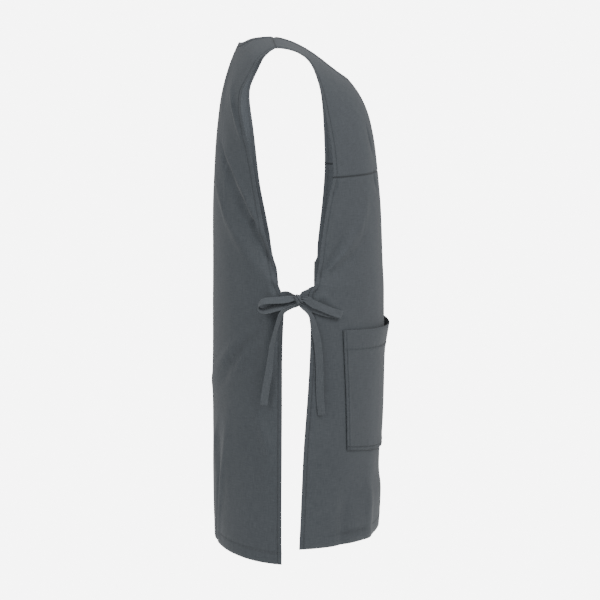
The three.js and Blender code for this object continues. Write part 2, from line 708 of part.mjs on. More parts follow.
// Free tapes. Their routes are chosen by hand, in millimetres. Turn is the direction of the tape's
// width in the horizontal plane, in degrees: 0 is along X and 90 along Y.
const ROUTE_COLUMNS = ['x', 'y', 'z', 'turn'];
const RIGHT_FRONT_TAIL = table(ROUTE_COLUMNS, [
  [-197.5, -45, -417.8, 30],
  [-199.8, -50.5, -421.8, 35],
  [-200.6, -57, -427, 40],
  [-199.8, -62, -434, 48],
  [-197.4, -65.2, -445, 65],
  [-195, -68.3, -459, 84],
  [-193, -73, -480, 95],
  [-192, -76, -520, 100],
  [-190.5, -76.5, -560, 100],
  [-190.5, -79.3, -595.5, 104],
]);
const RIGHT_BACK_TAIL = table(ROUTE_COLUMNS, [
  [-197, -41, -416.8, 0],
  [-197.6, -30, -420.6, 5],
  [-198, -17.5, -428.5, 10],
  [-198.5, -12, -440, 15],
  [-198.5, -6.8, -458, 22],
  [-197.5, -1.8, -478, 32],
  [-196.5, 1.2, -500, 47],
  [-194.5, 5, -529, 70],
  [-194, 9.6, -556, 75],
  [-193.5, 12.6, -579, 78],
]);
const LEFT_FRONT_TIE = table(ROUTE_COLUMNS, [
  [189.3, -76, -398, 106],
  [191, -76, -440, 104],
  [192.5, -76, -500, 105],
  [192.5, -76, -580, 100],
  [192.5, -76.5, -660, 96],
  [192.5, -77, -748, 94],
]);
const LEFT_BACK_TIE = table(ROUTE_COLUMNS, [
  [185.9, 9, -398, 66],
  [187.2, 9.5, -440, 67],
  [189.5, 10, -500, 70],
  [191.5, 10, -580, 74],
  [192.5, 10.5, -660, 80],
  [192.5, 11, -748, 84],
]);

function freeTape(rows) {
  const points = rows.map(({ x, y, z }) => new THREE.Vector3(x, y, z));
  const hints = rows.map(
    ({ turn }) => new THREE.Vector3(-Math.cos(radians(turn)), Math.sin(radians(turn)), 0),
  );
  return tape(route(points, hints, FREE_STEPS));
}

function piece(name, geometry, colour) {
  const material = new THREE.MeshStandardMaterial({ color: colour, roughness: 0.92, metalness: 0 });
  const mesh = new THREE.Mesh(geometry, material);
  mesh.name = name;
  return mesh;
}

const panels = new THREE.Group();
panels.add(
  piece('front_yoke', frontYoke(), TWILL),
  piece('front_skirt', frontSkirt(), TWILL),
  piece('back_panel', backPanel(), TWILL),
  piece('front_pocket', frontPocket(), TWILL),
);

const bow = new THREE.Group();
const knotMesh = piece('right_knot', knotSolid(), TAPE_GREY);
knotMesh.position.copy(knot);
bow.add(
  knotMesh,
  piece('right_front_lead', leadSolid(front, frontTieRow, FRONT_LEAD), TAPE_GREY),
  piece('right_back_lead', leadSolid(back, backTieRow, BACK_LEAD), TAPE_GREY),
  piece('right_front_loop', frontLoopSolid(), TAPE_GREY),
  piece('right_back_loop', backLoopSolid(), TAPE_GREY),
  piece('right_front_tail', freeTape(RIGHT_FRONT_TAIL), TAPE_GREY),
  piece('right_back_tail', freeTape(RIGHT_BACK_TAIL), TAPE_GREY),
);

const leftTies = new THREE.Group();
leftTies.add(
  piece('left_front_tie', freeTape(LEFT_FRONT_TIE), TAPE_GREY),
  piece('left_back_tie', freeTape(LEFT_BACK_TIE), TAPE_GREY),
);

const apron = new THREE.Group();
apron.add(panels, bow, leftTies);

export default apron;
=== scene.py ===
# %% [markdown]
# A cobbler apron in dark twill, held up as a wearer's shoulders hold it. The construction comes from
# the CAD frame: panels, pocket, bow and ties at their real place and size. This lesson dresses it:
# every panel gets folds, hems and stitching, and the tapes get their soft gathered shape.

# %% Load the frame
import math

import bmesh
import bpy
import numpy as np
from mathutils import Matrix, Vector, noise
from mathutils.bvhtree import BVHTree
from mathutils.kdtree import KDTree


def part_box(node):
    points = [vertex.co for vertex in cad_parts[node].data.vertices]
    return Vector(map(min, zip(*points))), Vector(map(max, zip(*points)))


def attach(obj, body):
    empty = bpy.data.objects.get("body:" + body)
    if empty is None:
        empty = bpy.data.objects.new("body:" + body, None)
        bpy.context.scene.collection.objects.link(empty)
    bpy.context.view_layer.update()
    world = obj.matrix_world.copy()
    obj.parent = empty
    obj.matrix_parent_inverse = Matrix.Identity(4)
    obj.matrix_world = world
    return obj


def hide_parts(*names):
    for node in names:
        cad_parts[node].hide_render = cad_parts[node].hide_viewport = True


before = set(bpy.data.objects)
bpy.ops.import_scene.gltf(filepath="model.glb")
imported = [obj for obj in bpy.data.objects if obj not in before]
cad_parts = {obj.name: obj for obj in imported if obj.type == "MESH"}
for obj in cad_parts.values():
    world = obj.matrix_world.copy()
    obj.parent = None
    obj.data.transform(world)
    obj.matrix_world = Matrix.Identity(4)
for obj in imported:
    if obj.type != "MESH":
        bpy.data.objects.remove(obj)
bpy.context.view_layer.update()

MM = 0.001

# %% [markdown]
# The apron is seen from its wearer's right side, from a little above the shoulders. A long lens
# from three metres keeps the far edges only slightly smaller than the near ones. The camera is
# placed first, because everything after it is compared with that one view.

# %% Camera
CAMERA_PLACE = Vector((-3.0, -0.045, 0.015))
CAMERA_AIM = Vector((0, -0.045, -0.439))
LENS_MM = 108.4
turn = (CAMERA_AIM - CAMERA_PLACE).to_track_quat("-Z", "Y").to_euler()
bpy.ops.object.camera_add(location=CAMERA_PLACE, rotation=turn)
camera = bpy.context.object
camera.data.lens = LENS_MM
camera.data.sensor_width = 36
bpy.context.scene.camera = camera
print("camera", round((CAMERA_AIM - CAMERA_PLACE).length, 3), "m from the apron's middle")

# %% [markdown]
# Small helpers come next. An operator works on what is selected, so pick() leaves one object
# selected. Selection inside a mesh is made in code, by a face's place or direction.

# %% Helpers for operators
def pick(obj):
    if bpy.context.object and bpy.context.object.mode != "OBJECT":
        bpy.ops.object.mode_set(mode="OBJECT")
    bpy.ops.object.select_all(action="DESELECT")
    obj.select_set(True)
    bpy.context.view_layer.objects.active = obj


def apply_modifier(obj, kind, **settings):
    pick(obj)
    bpy.ops.object.modifier_add(type=kind)
    modifier = obj.modifiers[-1]
    for name, value in settings.items():
        setattr(modifier, name, value)
    bpy.ops.object.modifier_apply(modifier=modifier.name)


def subdivide(obj, levels):
    apply_modifier(
        obj, "SUBSURF", levels=levels, render_levels=levels, boundary_smooth="PRESERVE_CORNERS",
    )


def places(obj):
    found = np.zeros(len(obj.data.vertices) * 3)
    obj.data.vertices.foreach_get("co", found)
    return found.reshape(-1, 3)


def set_places(obj, values):
    obj.data.vertices.foreach_set("co", np.asarray(values, float).ravel())
    obj.data.update()


def normals(obj):
    found = np.zeros(len(obj.data.vertices) * 3)
    obj.data.vertex_normals.foreach_get("vector", found)
    return found.reshape(-1, 3)


def corner_vertices(obj):
    """The vertex at each corner of each face, in the order of a UV map."""
    found = np.zeros(len(obj.data.loops), int)
    obj.data.loops.foreach_get("vertex_index", found)
    return found


# %% [markdown]
# A tape is a narrow strip of the apron's own cloth, folded and stitched, 12.5 mm wide. Its route is
# a short list of chosen points with the direction that its width takes, and a smooth curve runs
# through them. The free ends come first.

# %% Smooth curves
def smooth(points, count):
    """Places at even parameter steps on a smooth curve through rows of numbers."""
    points = np.asarray(points, float)
    padded = np.vstack([2 * points[0] - points[1], points, 2 * points[-1] - points[-2]])
    t = np.linspace(0, len(points) - 1, count)
    i = np.minimum(t.astype(int), len(points) - 2)
    f = (t - i)[:, None]
    a, b, c, d = (padded[i + k] for k in range(4))
    return b + f / 2 * (c - a + f * (2 * a - 5 * b + 4 * c - d + f * (3 * (b - c) + d - a)))


def run_of(points):
    """Length along a row of places, at each of them."""
    steps = np.linalg.norm(np.diff(points[:, :3], axis=0), axis=1)
    return np.concatenate([[0], np.cumsum(steps)])


def evenly(rows, step):
    """Rows of a smooth curve at an even spacing along its first three columns."""
    fine = smooth(rows, 20 * len(rows))
    run = run_of(fine)
    at = np.linspace(0, run[-1], max(int(round(run[-1] / step)), 4) + 1)
    return np.stack([np.interp(at, run, column) for column in fine.T], axis=1)


# %% Routes of the free tapes, in metres, with the direction of the tape's width in degrees
ROUTES = {
    "front_tail": [
        (-0.1975, -0.045, -0.4178, 30), (-0.1998, -0.0505, -0.4218, 28), (-0.2006, -0.057, -0.427, 27),
        (-0.1998, -0.062, -0.434, 32), (-0.1974, -0.0652, -0.445, 48), (-0.195, -0.0683, -0.459, 74),
        (-0.193, -0.073, -0.48, 95), (-0.192, -0.076, -0.52, 100), (-0.1905, -0.0765, -0.56, 100),
        (-0.1905, -0.0793, -0.5955, 104),
    ],
    "back_tail": [
        (-0.197, -0.041, -0.4168, 58), (-0.1976, -0.03, -0.4206, 60), (-0.198, -0.0175, -0.4285, 46),
        (-0.1985, -0.012, -0.44, 32), (-0.1985, -0.0068, -0.458, 30), (-0.1975, -0.0018, -0.478, 36),
        (-0.1965, 0.0012, -0.5, 47), (-0.1945, 0.005, -0.529, 70), (-0.194, 0.0096, -0.556, 75),
        (-0.1935, 0.0126, -0.579, 78),
    ],
    "left_front_tie": [
        (0.1893, -0.076, -0.398, 106), (0.191, -0.076, -0.44, 104), (0.1925, -0.076, -0.5, 105),
        (0.1925, -0.076, -0.58, 100), (0.1925, -0.0765, -0.66, 96), (0.1925, -0.077, -0.748, 94),
    ],
    "left_back_tie": [
        (0.1859, 0.009, -0.398, 66), (0.1872, 0.0095, -0.44, 67), (0.1895, 0.01, -0.5, 70),
        (0.1915, 0.01, -0.58, 74), (0.1925, 0.0105, -0.66, 80), (0.1925, 0.011, -0.748, 84),
    ],
}
TAPE_WIDTH = 12.5 * MM
TAPE_CLOTH = 1.1 * MM
CORD_STEP = 3.5 * MM
KNOT_START = (-0.1968, -0.0432, -0.4115, 15)  # a tail starts inside the knot


def route_stations(rows):
    """Centre and width direction along a route."""
    stations = []
    for x, y, z, degrees in rows:
        turn = math.radians(degrees)
        stations.append((x, y, z, -math.cos(turn), math.sin(turn), 0))
    return evenly(stations, CORD_STEP)


# %% [markdown]
# Each tape starts as a flat grid that is laid along its stations. Where it enters the knot it is
# squeezed: it keeps over half of its width, and the cloth that has no room stands up in two small
# pleats. Solidify gives it its thickness, and one subdivision rounds its edges.

# %% The tape maker
knot_low, knot_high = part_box("right_knot")
KNOT = np.array((knot_low + knot_high) / 2)
KNOT_HALF = np.array((knot_high - knot_low) / 2)
ACROSS = 12
SQUEEZE = 0.42
SQUEEZE_CURVE = 0.8
PLEAT = 3 * MM
WAVE_ALONG, WAVE_ACROSS = 45, 0.6
STITCH_PLACE, STITCH_REACH = 0.72, 0.1  # shares of the tape's half width
TAPE_GROOVE = 0.22 * MM


def unit(rows):
    return rows / np.linalg.norm(rows, axis=-1, keepdims=True)


def tape(name, stations, gather_run=0, stitched=True, wave=0.4 * MM):
    """A strip of folded cloth along stations of centre and width direction."""
    centre = stations[:, :3]
    along = unit(np.gradient(centre, axis=0))
    across = stations[:, 3:6]
    across = unit(across - (across * along).sum(1, keepdims=True) * along)
    face = np.cross(across, along)
    last = len(stations) - 1
    bpy.ops.mesh.primitive_grid_add(x_subdivisions=ACROSS, y_subdivisions=last, size=2)
    strip = bpy.context.object
    strip.name = name
    flat = places(strip)
    side = flat[:, 0]
    row = np.clip((flat[:, 1] + 1) / 2 * last, 0, last).round().astype(int)
    from_knot = np.linalg.norm(centre[row] - KNOT, axis=1) - KNOT_HALF[0]
    squeeze = np.zeros(len(flat))
    if gather_run:
        squeeze = SQUEEZE * (1 - np.clip(from_knot / gather_run, 0, 1)) ** SQUEEZE_CURVE
    pleat = PLEAT * squeeze * np.cos(2 * np.pi * side)
    run = run_of(centre)[row]
    spots = [(len(name), t * WAVE_ALONG, s * WAVE_ACROSS) for t, s in zip(run, side)]
    soft = np.array([noise.noise(Vector(spot)) for spot in spots])
    lift = pleat + wave * soft * 2
    if stitched:
        groove = np.exp(-(((np.abs(side) - STITCH_PLACE) / STITCH_REACH) ** 2))
        lift -= TAPE_GROOVE * groove * (1 - squeeze)
    half = TAPE_WIDTH / 2 * (1 - squeeze)
    placed = centre[row] + across[row] * (side * half)[:, None] + face[row] * lift[:, None]
    set_places(strip, placed)
    uv = strip.data.uv_layers.active or strip.data.uv_layers.new()
    uv.name = "cloth"
    cloth = np.stack([side * TAPE_WIDTH / 2, run], axis=1)[corner_vertices(strip)]
    uv.data.foreach_set("uv", cloth.ravel())
    apply_modifier(strip, "SOLIDIFY", thickness=TAPE_CLOTH, offset=0)
    subdivide(strip, 1)
    bpy.ops.object.shade_smooth()
    return strip


# %% Free tapes
TAIL_GATHER = 10 * MM
tails = {}
for name, rows in ROUTES.items():
    at_knot = "tail" in name
    stations = route_stations([KNOT_START, *rows] if at_knot else rows)
    piece = tape(name + "_tape", stations, gather_run=TAIL_GATHER if at_knot else 0)
    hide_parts("right_" + name if at_knot else name)
    tails[name] = piece

# %% [markdown]
# The bow is the same tape. Two short leads run from behind the panels' edge hems to the knot. The
# front loop lies flat on the skirt and is folded back on itself, and the back loop stands open.
# Each row here is a place and the direction of the tape's width.

# %% The bow
BOW_ROUTES = {
    "front_lead": [
        (-183.8, -69.6, -395, 0, 0, 1), (-185.1, -65, -395.2, 0, 0, 1),
        (-187.2, -59.8, -398.4, 0, 0.1, 1), (-191.5, -53.5, -400.6, -0.2, 0.25, 0.95),
        (-195, -48.5, -402.4, -0.2, 0.29, 0.93), (-197, -43.5, -405, -0.2, 0.3, 0.93),
    ],
    "back_lead": [
        (-184.7, -11.5, -404.4, 0, 0, 1), (-185.5, -14.5, -404.3, 0, 0, 1),
        (-187.3, -21.4, -402.6, 0, 0.06, 1), (-189.5, -27, -401.8, -0.4, 0.2, 0.88),
        (-192.5, -33, -402.4, -0.6, 0.3, 0.65), (-195.5, -38.5, -403, -0.82, 0.4, 0.41),
        (-196.8, -41.5, -405, -0.82, 0.4, 0.41),
    ],
    "front_loop": [
        (-197.6, -43.5, -406.4, 0, 0, -1), (-200.2, -50, -406.4, 0, 0.1, -1),
        (-200, -57, -408.7, -0.08, 0.4, -0.9), (-197.4, -66, -415.6, -0.14, 0.42, -0.9),
        (-193.9, -77, -420.6, -0.17, 0.36, -0.92), (-190.7, -86, -425, -0.19, 0.35, -0.92),
        (-186.9, -95, -429.3, -0.22, 0.34, -0.92), (-182.3, -103.5, -432.9, -0.24, 0.33, -0.91),
        (-176.8, -110.6, -435.8, -0.26, 0.31, -0.91), (-174.6, -111.4, -436.3, -0.26, 0.31, -0.91),
        (-174.6, -109.6, -436, -0.26, 0.31, -0.91), (-179.6, -101, -434.4, -0.24, 0.33, -0.91),
        (-184.6, -91, -432.4, -0.21, 0.34, -0.92), (-188.5, -81, -429.2, -0.18, 0.36, -0.92),
        (-192, -69, -424.6, -0.14, 0.42, -0.9), (-195, -59, -420.6, -0.08, 0.4, -0.9),
        (-197.2, -51, -416, 0, 0, -1), (-197, -44.5, -412, 0, 0, -1),
    ],
    "back_loop": [
        (-197, -42.5, -406.5, -0.7, -0.1, -0.7), (-199, -37, -405.9, -0.6, -0.1, -0.79),
        (-199.8, -29, -406.9, -0.6, -0.1, -0.79), (-199.6, -18, -408.7, -0.62, 0, -0.78),
        (-198.6, -7, -409.6, -0.6, 0.1, -0.8), (-197, 4, -410.4, -0.62, 0.1, -0.78),
        (-194.8, 14, -412.6, -0.7, 0, -0.68), (-193.4, 19.3, -417.5, -0.9, -0.15, -0.3),
        (-193, 20, -423, -0.95, 0.2, -0.05), (-194, 15, -427, -0.8, 0.3, -0.45),
        (-195.4, 6, -426.6, -0.72, 0.1, -0.65), (-196.8, -1.5, -424, -0.7, 0, -0.7),
        (-197.4, -17, -419.6, -0.7, -0.1, -0.7), (-197, -31, -415.4, -0.6, -0.1, -0.79),
        (-196.8, -42, -411.8, -0.6, -0.1, -0.79),
    ],
}
BOW_STEP = 2.2 * MM
LOOP_GATHER = 9 * MM
LEAD_GATHER = 3 * MM
BOW_WAVE = 0.3 * MM
bow = {}
for name, rows in BOW_ROUTES.items():
    stations = evenly(np.array(rows) * (MM, MM, MM, 1, 1, 1), BOW_STEP)
    gather = LOOP_GATHER if "loop" in name else LEAD_GATHER
    piece = tape(name, stations, gather_run=gather, wave=BOW_WAVE)
    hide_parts("right_" + name)
    bow[name] = piece
    print(f"{name}: {run_of(stations)[-1] * 1000:.0f} mm of tape")

# %% [markdown]
# The knot is the tape itself, pulled tight: a lump of squeezed folds with one turn of tape over it.
# A sphere is only its start: its surface is pushed in along the creases between the folds. The
# turn is a strip on a tilted ring, which runs across the knot from high behind to low in front.

# %% Knot
KNOT_FILL = 0.98  # share of the solid's size
bpy.ops.mesh.primitive_uv_sphere_add(segments=32, ring_count=20, radius=1)
knot = bpy.context.object
knot.name = "knot"
ball = places(knot)
crease = np.sin(5 * ball[:, 2] + 3 * ball[:, 1]) * 0.06 + np.sin(4 * ball[:, 1] - 2 * ball[:, 0]) * 0.05
set_places(knot, KNOT + ball * (KNOT_FILL + crease)[:, None] * KNOT_HALF)
subdivide(knot, 1)
bpy.ops.object.shade_smooth()
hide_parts("right_knot")

WRAP_OUT = np.array((-6.0, 0, 0)) * MM
WRAP_DOWN = np.array((0.0, -0.6, -0.8)) * 7.4 * MM
WRAP_ACROSS = np.array((0.0, -0.8, 0.6))
WRAP_GATHER = 40 * MM
WRAP_WAVE = 0.2 * MM
turns = np.linspace(0, 2 * np.pi, 40)[:, None]
ring = KNOT + WRAP_OUT * np.cos(turns) + WRAP_DOWN * np.sin(turns)
ring_rows = np.hstack([ring, np.tile(WRAP_ACROSS, (len(ring), 1))])
wrap = tape("knot_wrap", ring_rows, gather_run=WRAP_GATHER, stitched=False, wave=WRAP_WAVE)
print("knot", [round(s * 2000, 1) for s in KNOT_HALF], "mm")

# %% [markdown]
# A panel's form is right in its CAD solid, but that solid is coarse, made of triangles and has two
# walls. Only its outer wall is kept: each vertex there has a partner one or two layers of cloth
# further in. The diagonals are dissolved, and what is left is one sheet of quads with four corners,
# like the cloth on the cutting table. It gets its thickness back at the end. The bow draws the two
# tied edges a few millimetres towards the knot, which the coarse sheet can still follow easily.

# %% Reading a cloth solid
CLOTH = 1.2 * MM
MIDDLE = Vector((0, -0.03, 0))
SHOULDER_REGION = -0.15
SEARCH = 2.1 * CLOTH
TOUCH = 0.02 * MM  # places closer than this are one place


def outer_vertices(obj):
    """Whether each vertex lies on the outer wall."""
    vertices = obj.data.vertices
    tree = KDTree(len(vertices))
    for vertex in vertices:
        tree.insert(vertex.co, vertex.index)
    tree.balance()
    outer = [False] * len(vertices)
    for vertex in vertices:
        away = vertex.co - MIDDLE
        away.z = vertex.co.z - min(vertex.co.z, SHOULDER_REGION)
        steps = [
            vertex.co - place
            for place, _, gap in tree.find_range(vertex.co, SEARCH)
            if min(abs(gap - CLOTH), abs(gap - 2 * CLOTH)) < TOUCH
        ]
        leans = [step.normalized().dot(away.normalized()) for step in steps]
        outer[vertex.index] = bool(leans) and max(leans, key=abs) > 0
    return outer


def grid_of(obj):
    """Vertex indices of a triangulated grid, row by row from its top right corner."""
    sheet = bmesh.new()
    sheet.from_mesh(obj.data)
    corners = [v for v in sheet.verts if len(v.link_faces) <= 2 and v.co.x < 0]
    corner = max(corners, key=lambda v: v.co.z)
    beside = [e.other_vert(corner) for e in corner.link_edges if e.is_boundary]
    row = [corner, max(beside, key=lambda v: v.co.z)]
    while len(row[-1].link_faces) > 2:
        ahead = [e.other_vert(row[-1]) for e in row[-1].link_edges if e.is_boundary]
        row.append(next(v for v in ahead if v not in row))
    rows = [row]
    seen = set()

    def third(a, b):
        face = next(f for f in a.link_faces if b in f.verts and f not in seen)
        seen.add(face)
        return next(v for v in face.verts if v not in (a, b))

    while len(seen) < len(sheet.faces):
        below = [None]
        for a, b in zip(rows[-1], rows[-1][1:]):
            diagonal = third(a, b)
            under = third(a, diagonal)
            below[-1] = below[-1] or under
            below.append(diagonal)
        rows.append(below)
    grid = np.array([[v.index for v in row] for row in rows])
    sheet.free()
    return grid


def outer_sheet(node, name):
    """The outer wall of a cloth solid, as one sheet of quads, and its grid of vertices."""
    sheet = bpy.data.objects.new(name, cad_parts[node].data.copy())
    bpy.context.scene.collection.objects.link(sheet)
    pick(sheet)
    bpy.ops.object.mode_set(mode="EDIT")
    bpy.ops.mesh.select_all(action="SELECT")
    bpy.ops.mesh.remove_doubles(threshold=TOUCH)
    bpy.ops.mesh.select_mode(type="VERT")
    bpy.ops.mesh.select_all(action="DESELECT")
    bpy.ops.object.mode_set(mode="OBJECT")
    for vertex, outer in zip(sheet.data.vertices, outer_vertices(sheet)):
        vertex.select = not outer
    bpy.ops.object.mode_set(mode="EDIT")
    bpy.ops.mesh.delete(type="VERT")
    bpy.ops.mesh.select_mode(type="EDGE")
    bpy.ops.object.mode_set(mode="OBJECT")
    grid = grid_of(sheet)
    row_of = np.zeros(grid.size, int)
    column_of = np.zeros(grid.size, int)
    row_of[grid], column_of[grid] = np.indices(grid.shape)
    for edge in sheet.data.edges:
        a, b = edge.vertices
        edge.select = bool(row_of[a] != row_of[b] and column_of[a] != column_of[b])
    bpy.ops.object.mode_set(mode="EDIT")
    bpy.ops.mesh.dissolve_edges(use_verts=False)
    bpy.ops.object.mode_set(mode="OBJECT")
    print(f"{name}: {grid.shape[1] - 1} x {grid.shape[0] - 1} quads, {len(sheet.data.polygons)} faces")
    return sheet, grid


# %% Outer walls of the four cloth pieces
HEM_EASE = 0.2


def ease_hem_slope(sheet, grid):
    """Moves the second line inside each edge a little further in, so that no column is too thin."""
    points = places(sheet)
    for table in (grid, grid.T, grid[:, ::-1], grid.T[:, ::-1]):
        points[table[:, 2]] = points[table[:, 2]] * (1 - HEM_EASE) + points[table[:, 3]] * HEM_EASE
    set_places(sheet, points)


SEAM_LAP = 0.3 * MM


def lap_seams(sheet, grid):
    """Lets the top and bottom edges reach a little further, so that no light shows in a seam."""
    points = places(sheet)
    for table in (grid, grid[::-1]):
        points[table[0]] += unit(points[table[0]] - points[table[1]]) * SEAM_LAP
    set_places(sheet, points)


PULL_HEIGHT = -398 * MM
PULLS = {"skirt_cloth": (5 * MM, 22 * MM), "back_cloth": (-6 * MM, 46 * MM)}
PULL_REACH = 30 * MM


def pull_edge(sheet, grid, way, spread):
    """Draws the tied side edge towards the knot, as the bow does."""
    points = places(sheet)
    for row in grid:
        inward = run_of(points[row])
        near = np.exp(-((inward / PULL_REACH) ** 2)) * (inward < 3 * PULL_REACH)
        near *= np.exp(-(((points[row[0], 2] - PULL_HEIGHT) / spread) ** 2))
        points[row, 1] += way * near
    set_places(sheet, points)


sheets = {}
for node, name in {
    "front_yoke": "yoke_cloth",
    "front_skirt": "skirt_cloth",
    "back_panel": "back_cloth",
    "front_pocket": "pocket_cloth",
}.items():
    sheets[name] = outer_sheet(node, name)
    ease_hem_slope(*sheets[name])
    lap_seams(*sheets[name])
    if name in PULLS:
        pull_edge(*sheets[name], *PULLS[name])

# %% [markdown]
# The weave has to follow the cloth, so each sheet is unwrapped flat, as its paper pattern was. The
# layout is turned upright and scaled until one unit is one metre. Then a thread count or a
# distance from an edge can be read straight from the UV map.

# %% Flat patterns
def read_uv(obj):
    """Each vertex's place in the flat pattern."""
    layer = obj.data.uv_layers["cloth"]
    values = np.zeros(len(obj.data.loops) * 2)
    layer.data.foreach_get("uv", values)
    found = np.zeros((len(obj.data.vertices), 2))
    found[corner_vertices(obj)] = values.reshape(-1, 2)
    return found


def unwrap(sheet, grid):
    for layer in list(sheet.data.uv_layers):
        sheet.data.uv_layers.remove(layer)
    sheet.data.uv_layers.new(name="cloth")
    pick(sheet)
    bpy.ops.object.mode_set(mode="EDIT")
    bpy.ops.mesh.select_all(action="SELECT")
    bpy.ops.uv.unwrap(method="ANGLE_BASED", margin=0)
    bpy.ops.object.mode_set(mode="OBJECT")
    uv = read_uv(sheet)
    middle = grid[:, grid.shape[1] // 2]
    fall = uv[middle[-1]] - uv[middle[0]]
    scale = run_of(places(sheet)[middle])[-1] / np.linalg.norm(fall)
    down = fall / np.linalg.norm(fall)
    right = np.array((-down[1], down[0]))
    centred = uv - uv[middle[0]]
    flat = np.stack([centred @ right, -(centred @ down)], axis=1) * scale
    sheet.data.uv_layers["cloth"].data.foreach_set("uv", flat[corner_vertices(sheet)].ravel())
    return flat


def flat_area(sheet, flat):
    area = 0
    for face in sheet.data.polygons:
        ring = flat[list(face.vertices)]
        ahead = np.roll(ring, -1, axis=0)
        area += abs((ring[:, 0] * ahead[:, 1] - ring[:, 1] * ahead[:, 0]).sum()) / 2
    return area


cut_sizes = {}
for name, (sheet, grid) in sheets.items():
    flat = unwrap(sheet, grid)
    size = flat.max(0) - flat.min(0)
    cut_sizes[name] = (*size, flat_area(sheet, flat))
    print(f"{name}: flat {size[0] * 1000:.0f} x {size[1] * 1000:.0f} mm, {cut_sizes[name][2]:.3f} m2")

# %% [markdown]
# Folds are what make cloth read as cloth. Here they run where the ties pull: from the knot up over
# the back and down to the hem. Each one is a row of three places, a width in millimetres and three
# heights, which FOLD_LIFT turns into millimetres. Places are shares: across from the side edge (-1
# on the wearer's right) to the other edge, and down from the neck points to the hem.

# %% Fold tables
LENGTH = 830 * MM
BACK_FOLDS = [
    ((-0.38, 0.200), (-0.66, 0.25), (-0.90, 0.352), 9, (0.0, -1.2, -1.0)),
    ((-0.90, 0.352), (-0.97, 0.41), (-1.0, 0.455), 6, (-1.0, -1.1, -0.6)),
    ((-0.50, 0.190), (-0.80, 0.262), (-0.97, 0.37), 8, (0.0, 0.9, 0.7)),
    ((-0.20, 0.250), (-0.55, 0.33), (-0.92, 0.445), 13, (0.0, 0.9, 0.6)),
    ((-0.84, 0.545), (-0.45, 0.63), (0.0, 0.707), 10, (0.7, 1.3, 0.0)),
    ((-0.73, 0.606), (-0.66, 0.63), (-0.5, 0.665), 7, (0.2, 0.9, 0.0)),
    ((-0.80, 0.575), (-0.45, 0.66), (-0.1, 0.735), 9, (-0.4, -1.0, 0.0)),
    ((-0.36, 0.745), (-0.26, 0.80), (-0.22, 0.88), 8, (0.0, 1.0, 0.0)),
    ((-0.50, 0.77), (-0.44, 0.87), (-0.32, 0.99), 10, (0.3, 1.3, 0.9)),
    ((-0.36, 0.79), (-0.31, 0.89), (-0.24, 1.0), 8, (-0.3, -1.3, -0.9)),
    ((-0.80, 0.712), (-0.88, 0.76), (-0.93, 0.805), 8, (0.2, 0.9, 0.2)),
    ((-0.70, 0.09), (-0.85, 0.125), (-0.95, 0.19), 7, (0.0, 0.9, 0.5)),
    ((0.0, 0.03), (-0.3, 0.08), (-0.5, 0.16), 14, (0.0, 0.7, 0.0)),
    ((-0.95, 0.46), (-0.9, 0.56), (-0.86, 0.7), 9, (0.8, 0.5, 0.0)),
    ((-0.97, 0.47), (-0.97, 0.6), (-0.98, 0.75), 6, (-0.6, -0.4, 0.0)),
    ((0.38, 0.22), (0.66, 0.29), (0.96, 0.42), 11, (0.0, -1.0, -0.5)),
    ((0.9, 0.53), (0.5, 0.62), (0.1, 0.7), 12, (0.4, 0.9, 0.0)),
    ((0.45, 0.7), (0.42, 0.85), (0.4, 1.0), 13, (0.0, 1.1, 0.9)),
    ((0.62, 0.66), (0.6, 0.85), (0.6, 1.0), 11, (0.0, -1.0, -0.8)),
]
FRONT_FOLDS = [
    ((-0.76, 0.371), (-0.86, 0.405), (-0.97, 0.45), 6, (0.0, -1.0, -0.8)),
    ((-0.60, 0.401), (-0.72, 0.42), (-0.90, 0.445), 6, (0.0, -0.9, -0.5)),
    ((-0.68, 0.38), (-0.8, 0.41), (-0.95, 0.448), 5, (0.0, 0.7, 0.5)),
    ((-0.33, 0.165), (-0.30, 0.20), (-0.27, 0.235), 6, (0.0, -0.9, 0.0)),
    ((-0.37, 0.255), (-0.32, 0.28), (-0.27, 0.305), 6, (0.0, -0.8, 0.0)),
    ((-0.96, 0.265), (-0.95, 0.285), (-0.99, 0.31), 4, (0.0, -0.6, 0.0)),
    ((-0.5, 0.3), (-0.62, 0.36), (-0.85, 0.43), 14, (0.0, 0.8, 0.4)),
    ((-0.9, 0.49), (-0.75, 0.53), (-0.6, 0.55), 8, (0.6, 0.5, 0.0)),
    ((-0.45, 0.84), (-0.44, 0.92), (-0.42, 1.0), 15, (0.0, 1.0, 0.9)),
    ((-0.7, 0.85), (-0.7, 0.93), (-0.7, 1.0), 12, (0.0, -0.8, -0.6)),
    ((0.33, 0.17), (0.3, 0.2), (0.27, 0.235), 7, (0.0, -0.8, 0.0)),
    ((0.7, 0.36), (0.8, 0.4), (0.95, 0.46), 9, (0.0, -0.8, -0.4)),
    ((0.4, 0.84), (0.42, 0.92), (0.42, 1.0), 15, (0.0, 1.0, 0.9)),
]
PANEL_HALF = 250 * MM
FOLD_LIFT = 4


def nearest_on(points, line):
    """Distance from points to a chain of straight stretches, and how far along it that is."""
    best = np.full(len(points), np.inf)
    share = np.zeros(len(points))
    for i, (start, end) in enumerate(zip(line, line[1:])):
        step = end - start
        t = np.clip(((points - start) @ step) / (step @ step), 0, 1)
        away = np.linalg.norm(points - start - t[:, None] * step, axis=1)
        closer = away < best
        best[closer] = away[closer]
        share[closer] = ((i + t) / (len(line) - 1))[closer]
    return best, share


